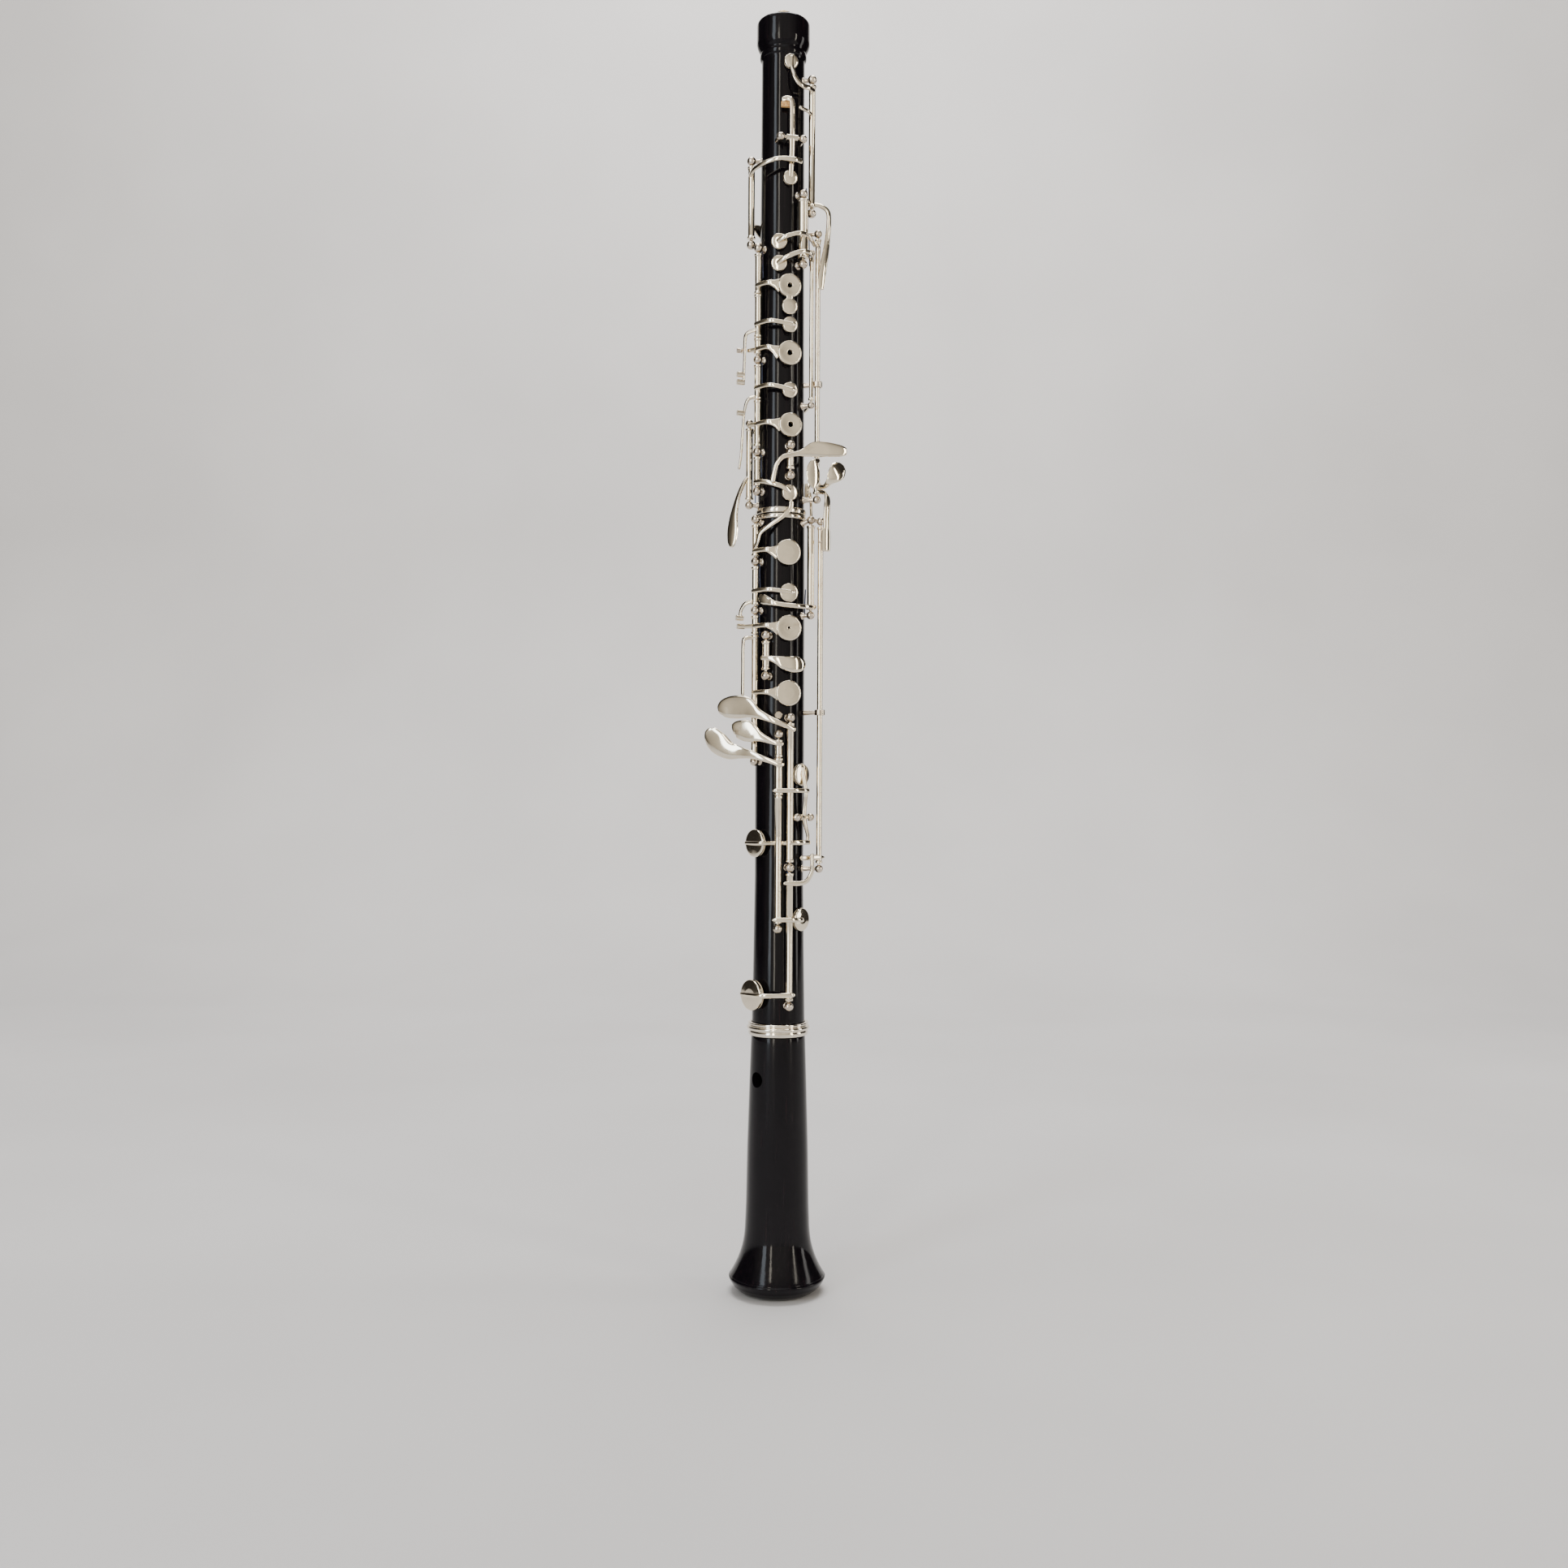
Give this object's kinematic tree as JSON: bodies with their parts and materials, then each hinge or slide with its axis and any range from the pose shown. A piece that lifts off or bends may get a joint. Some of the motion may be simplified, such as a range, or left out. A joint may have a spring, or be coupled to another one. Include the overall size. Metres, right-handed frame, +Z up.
{
  "type": "oboe",
  "caption": "Oboe standing upright: a black turned body in three joints with a flared bell, metal rings, and nickel keys on ball posts that turn on their rods",
  "frame": {"origin": "centre of the bell's mouth, on the plane of its lowest face", "axes": "+Z up the bore towards the reed socket, -Y out through the finger plates, +X to the right of someone who faces the finger plates"},
  "size_m": [0.061, 0.0469, 0.59],
  "materials": {
    "black_body": "polished black body with fine polishing scratches",
    "nickel_keys": "bright nickel keys, slightly warm, with light wear",
    "nickel_posts": "duller nickel posts and steel pins",
    "nickel_rings": "polished nickel rings",
    "cork": "matt cork",
    "brass_liner": "bright brass lining of the reed socket"
  },
  "bodies": {
    "instrument_body": {"upper_joint": "black_body", "lower_joint": "black_body", "bell": "black_body", "reed_socket_liner": "brass_liner", "upper_tenon_cork": "cork", "lower_tenon_cork": "cork", "upper_joint_ring": "nickel_rings", "socket_ring": "nickel_rings", "bell_ring": "nickel_rings", "second_octave_posts": "nickel_posts", "first_octave_posts": "nickel_posts", "thumb_octave_posts": "nickel_posts", "upper_trill_posts": "nickel_posts", "lower_trill_posts": "nickel_posts", "left_lever_posts": "nickel_posts", "left_stack_posts": "nickel_posts", "trill_spoon_posts": "nickel_posts", "g_sharp_posts": "nickel_posts", "right_stack_posts": "nickel_posts", "side_rod_posts": "nickel_posts", "f_key_posts": "nickel_posts", "foot_outer_posts": "nickel_posts", "foot_inner_posts": "nickel_posts", "e_flat_rocker_posts": "nickel_posts", "left_lever_guide": "nickel_posts", "low_b_rod_guide": "nickel_posts", "thumb_rest": "nickel_posts", "thumb_rest_screw_upper": "nickel_posts", "thumb_rest_screw_lower": "nickel_posts", "foot_stop_screw": "nickel_posts"},
    "second_octave_key": {"second_octave_key": "nickel_keys"},
    "thumb_octave_key": {"thumb_octave_key": "nickel_keys"},
    "upper_trill_key": {"upper_trill_key": "nickel_keys"},
    "lower_trill_key": {"lower_trill_key": "nickel_keys"},
    "left_trill_lever": {"left_trill_lever": "nickel_keys"},
    "half_hole_key": {"half_hole_key": "nickel_keys"},
    "c_vent_key": {"c_vent_key": "nickel_keys", "vent_adjusting_screw": "nickel_posts"},
    "left_middle_key": {"left_middle_key": "nickel_keys"},
    "b_vent_key": {"b_vent_key": "nickel_keys"},
    "left_ring_key": {"left_ring_key": "nickel_keys"},
    "g_sharp_pad_key": {"g_sharp_pad_key": "nickel_keys"},
    "g_sharp_lever": {"g_sharp_lever": "nickel_keys"},
    "right_trill_spoon": {"right_trill_spoon": "nickel_keys"},
    "left_low_b_lever": {"left_low_b_lever": "nickel_keys"},
    "right_index_key": {"right_index_key": "nickel_keys"},
    "f_sharp_vent_key": {"f_sharp_vent_key": "nickel_keys"},
    "right_middle_key": {"right_middle_key": "nickel_keys"},
    "right_ring_key": {"right_ring_key": "nickel_keys"},
    "side_key": {"side_key": "nickel_keys"},
    "f_key": {"f_key": "nickel_keys"},
    "low_b_rod": {"low_b_rod": "nickel_keys"},
    "low_c_key": {"low_c_key": "nickel_keys"},
    "c_sharp_key": {"c_sharp_key": "nickel_keys"},
    "e_flat_key": {"e_flat_key": "nickel_keys"},
    "low_b_pad_key": {"low_b_pad_key": "nickel_keys"},
    "first_octave_key": {"first_octave_key": "nickel_keys"},
    "e_flat_rocker_key": {"e_flat_rocker_key": "nickel_keys"}
  },
  "joints": [
    {"name": "second_octave_key_hinge", "type": "hinge", "parent": "instrument_body", "child": "second_octave_key", "pos_m": [0.0115, -0.00867, 0.526], "axis": [0, 0, 1], "range_deg": [0, 7], "stiffness_Nm_per_rad": 0.03, "springref_deg": -5.73},
    {"name": "thumb_octave_key_hinge", "type": "hinge", "parent": "instrument_body", "child": "thumb_octave_key", "pos_m": [-0.01454, 0.00127, 0.5], "axis": [0, 0, -1], "range_deg": [0, 4], "stiffness_Nm_per_rad": 0.03, "springref_deg": -5.73},
    {"name": "upper_trill_key_hinge", "type": "hinge", "parent": "instrument_body", "child": "upper_trill_key", "pos_m": [0.00654, -0.01204, 0.486], "axis": [0, 0, 1], "range_deg": [0, 6], "stiffness_Nm_per_rad": 0.03, "springref_deg": -5.73},
    {"name": "lower_trill_key_hinge", "type": "hinge", "parent": "instrument_body", "child": "lower_trill_key", "pos_m": [0.01141, -0.00958, 0.442], "axis": [0, 0, 1], "range_deg": [0, 4.6], "stiffness_Nm_per_rad": 0.03, "springref_deg": -5.73},
    {"name": "left_trill_lever_hinge", "type": "hinge", "parent": "instrument_body", "child": "left_trill_lever", "pos_m": [0.01472, -0.0085, 0.428], "axis": [0, 0, -1], "range_deg": [0, 6], "stiffness_Nm_per_rad": 0.03, "springref_deg": -5.73},
    {"name": "half_hole_key_hinge", "type": "hinge", "parent": "instrument_body", "child": "half_hole_key", "pos_m": [-0.01265, -0.00498, 0.466], "axis": [0, 0, 1], "range_deg": [0, 5], "stiffness_Nm_per_rad": 0.03, "springref_deg": -5.73},
    {"name": "c_vent_key_hinge", "type": "hinge", "parent": "instrument_body", "child": "c_vent_key", "pos_m": [-0.01265, -0.00498, 0.447], "axis": [0, 0, 1], "range_deg": [0, 4.6], "stiffness_Nm_per_rad": 0.03, "springref_deg": -5.73},
    {"name": "left_middle_key_hinge", "type": "hinge", "parent": "instrument_body", "child": "left_middle_key", "pos_m": [-0.01265, -0.00498, 0.433], "axis": [0, 0, 1], "range_deg": [0, 4.6], "stiffness_Nm_per_rad": 0.03, "springref_deg": -5.73},
    {"name": "b_vent_key_hinge", "type": "hinge", "parent": "instrument_body", "child": "b_vent_key", "pos_m": [-0.01265, -0.00498, 0.417], "axis": [0, 0, 1], "range_deg": [0, 4.6], "stiffness_Nm_per_rad": 0.03, "springref_deg": -5.73},
    {"name": "left_ring_key_hinge", "type": "hinge", "parent": "instrument_body", "child": "left_ring_key", "pos_m": [-0.01265, -0.00498, 0.398], "axis": [0, 0, 1], "range_deg": [0, 4.6], "stiffness_Nm_per_rad": 0.03, "springref_deg": -5.73},
    {"name": "g_sharp_pad_key_hinge", "type": "hinge", "parent": "instrument_body", "child": "g_sharp_pad_key", "pos_m": [-0.01265, -0.00498, 0.376], "axis": [0, 0, -1], "range_deg": [0, 5], "stiffness_Nm_per_rad": 0.03, "springref_deg": -5.73},
    {"name": "g_sharp_lever_hinge", "type": "hinge", "parent": "instrument_body", "child": "g_sharp_lever", "pos_m": [0.00064, -0.01358, 0.38], "axis": [0, 0, 1], "range_deg": [0, 4], "stiffness_Nm_per_rad": 0.03, "springref_deg": -5.73},
    {"name": "right_trill_spoon_hinge", "type": "hinge", "parent": "instrument_body", "child": "right_trill_spoon", "pos_m": [-0.01484, 0.0013, 0.38], "axis": [0, 0, -1], "range_deg": [0, 4.2], "stiffness_Nm_per_rad": 0.03, "springref_deg": -5.73},
    {"name": "left_low_b_lever_hinge", "type": "hinge", "parent": "instrument_body", "child": "left_low_b_lever", "pos_m": [0.01472, -0.0085, 0.369], "axis": [0, 0, 1], "range_deg": [0, 8], "stiffness_Nm_per_rad": 0.03, "springref_deg": -5.73},
    {"name": "right_index_key_hinge", "type": "hinge", "parent": "instrument_body", "child": "right_index_key", "pos_m": [-0.01335, -0.00539, 0.344], "axis": [0, 0, 1], "range_deg": [0, 4.6], "stiffness_Nm_per_rad": 0.03, "springref_deg": -5.73},
    {"name": "f_sharp_vent_key_hinge", "type": "hinge", "parent": "instrument_body", "child": "f_sharp_vent_key", "pos_m": [-0.01335, -0.00539, 0.323], "axis": [0, 0, 1], "range_deg": [0, 4.6], "stiffness_Nm_per_rad": 0.03, "springref_deg": -5.73},
    {"name": "right_middle_key_hinge", "type": "hinge", "parent": "instrument_body", "child": "right_middle_key", "pos_m": [-0.01335, -0.00539, 0.305], "axis": [0, 0, 1], "range_deg": [0, 4.6], "stiffness_Nm_per_rad": 0.03, "springref_deg": -5.73},
    {"name": "right_ring_key_hinge", "type": "hinge", "parent": "instrument_body", "child": "right_ring_key", "pos_m": [-0.01335, -0.00539, 0.274], "axis": [0, 0, 1], "range_deg": [0, 4.6], "stiffness_Nm_per_rad": 0.03, "springref_deg": -5.73},
    {"name": "side_key_hinge", "type": "hinge", "parent": "instrument_body", "child": "side_key", "pos_m": [0.01153, -0.0102, 0.332], "axis": [0, 0, -1], "range_deg": [0, 3.5], "stiffness_Nm_per_rad": 0.03, "springref_deg": -5.73},
    {"name": "f_key_hinge", "type": "hinge", "parent": "instrument_body", "child": "f_key", "pos_m": [-0.00966, -0.01095, 0.291], "axis": [0, 0, 1], "range_deg": [0, 6], "stiffness_Nm_per_rad": 0.03, "springref_deg": -5.73},
    {"name": "low_b_rod_hinge", "type": "hinge", "parent": "instrument_body", "child": "low_b_rod", "pos_m": [0.0161, -0.01046, 0.274], "axis": [0, 0, 1], "range_deg": [0, 8], "stiffness_Nm_per_rad": 0.03, "springref_deg": -5.73},
    {"name": "low_c_key_hinge", "type": "hinge", "parent": "instrument_body", "child": "low_c_key", "pos_m": [0.00094, -0.01487, 0.23], "axis": [0, 0, -1], "range_deg": [0, 5.6], "stiffness_Nm_per_rad": 0.03, "springref_deg": -5.73},
    {"name": "c_sharp_key_hinge", "type": "hinge", "parent": "instrument_body", "child": "c_sharp_key", "pos_m": [-0.00436, -0.01425, 0.207], "axis": [0, 0, -1], "range_deg": [0, 4.6], "stiffness_Nm_per_rad": 0.03, "springref_deg": -5.73},
    {"name": "e_flat_key_hinge", "type": "hinge", "parent": "instrument_body", "child": "e_flat_key", "pos_m": [-0.00436, -0.01425, 0.236], "axis": [0, 0, -1], "range_deg": [0, 4.4], "stiffness_Nm_per_rad": 0.03, "springref_deg": -5.73},
    {"name": "low_b_pad_key_hinge", "type": "hinge", "parent": "instrument_body", "child": "low_b_pad_key", "pos_m": [0.00094, -0.01487, 0.164], "axis": [0, 0, -1], "range_deg": [0, 7.2], "stiffness_Nm_per_rad": 0.03, "springref_deg": -5.73},
    {"name": "first_octave_key_hinge", "type": "hinge", "parent": "instrument_body", "child": "first_octave_key", "pos_m": [0.00049, -0.01389, 0.527], "axis": [-0.9994, -0.0349, 0], "range_deg": [0, 4], "stiffness_Nm_per_rad": 0.03, "springref_deg": -5.73},
    {"name": "e_flat_rocker_key_hinge", "type": "hinge", "parent": "instrument_body", "child": "e_flat_rocker_key", "pos_m": [0.00844, -0.01092, 0.218], "axis": [0.7912, 0.6115, 0], "range_deg": [0, 4], "stiffness_Nm_per_rad": 0.03, "springref_deg": -5.73}
  ],
  "couplings": [
    {"joint": "upper_trill_key_hinge", "follows": "left_trill_lever_hinge", "ratio": 0.8},
    {"joint": "lower_trill_key_hinge", "follows": "right_trill_spoon_hinge", "ratio": 1.05},
    {"joint": "c_vent_key_hinge", "follows": "left_middle_key_hinge", "ratio": 1},
    {"joint": "b_vent_key_hinge", "follows": "left_ring_key_hinge", "ratio": 1},
    {"joint": "g_sharp_pad_key_hinge", "follows": "g_sharp_lever_hinge", "ratio": 1.25},
    {"joint": "f_sharp_vent_key_hinge", "follows": "right_middle_key_hinge", "ratio": 1},
    {"joint": "low_b_rod_hinge", "follows": "left_low_b_lever_hinge", "ratio": 1},
    {"joint": "low_b_pad_key_hinge", "follows": "left_low_b_lever_hinge", "ratio": 0.88},
    {"joint": "first_octave_key_hinge", "follows": "thumb_octave_key_hinge", "ratio": 0.9},
    {"joint": "e_flat_rocker_key_hinge", "follows": "e_flat_key_hinge", "ratio": 0.88}
  ]
}
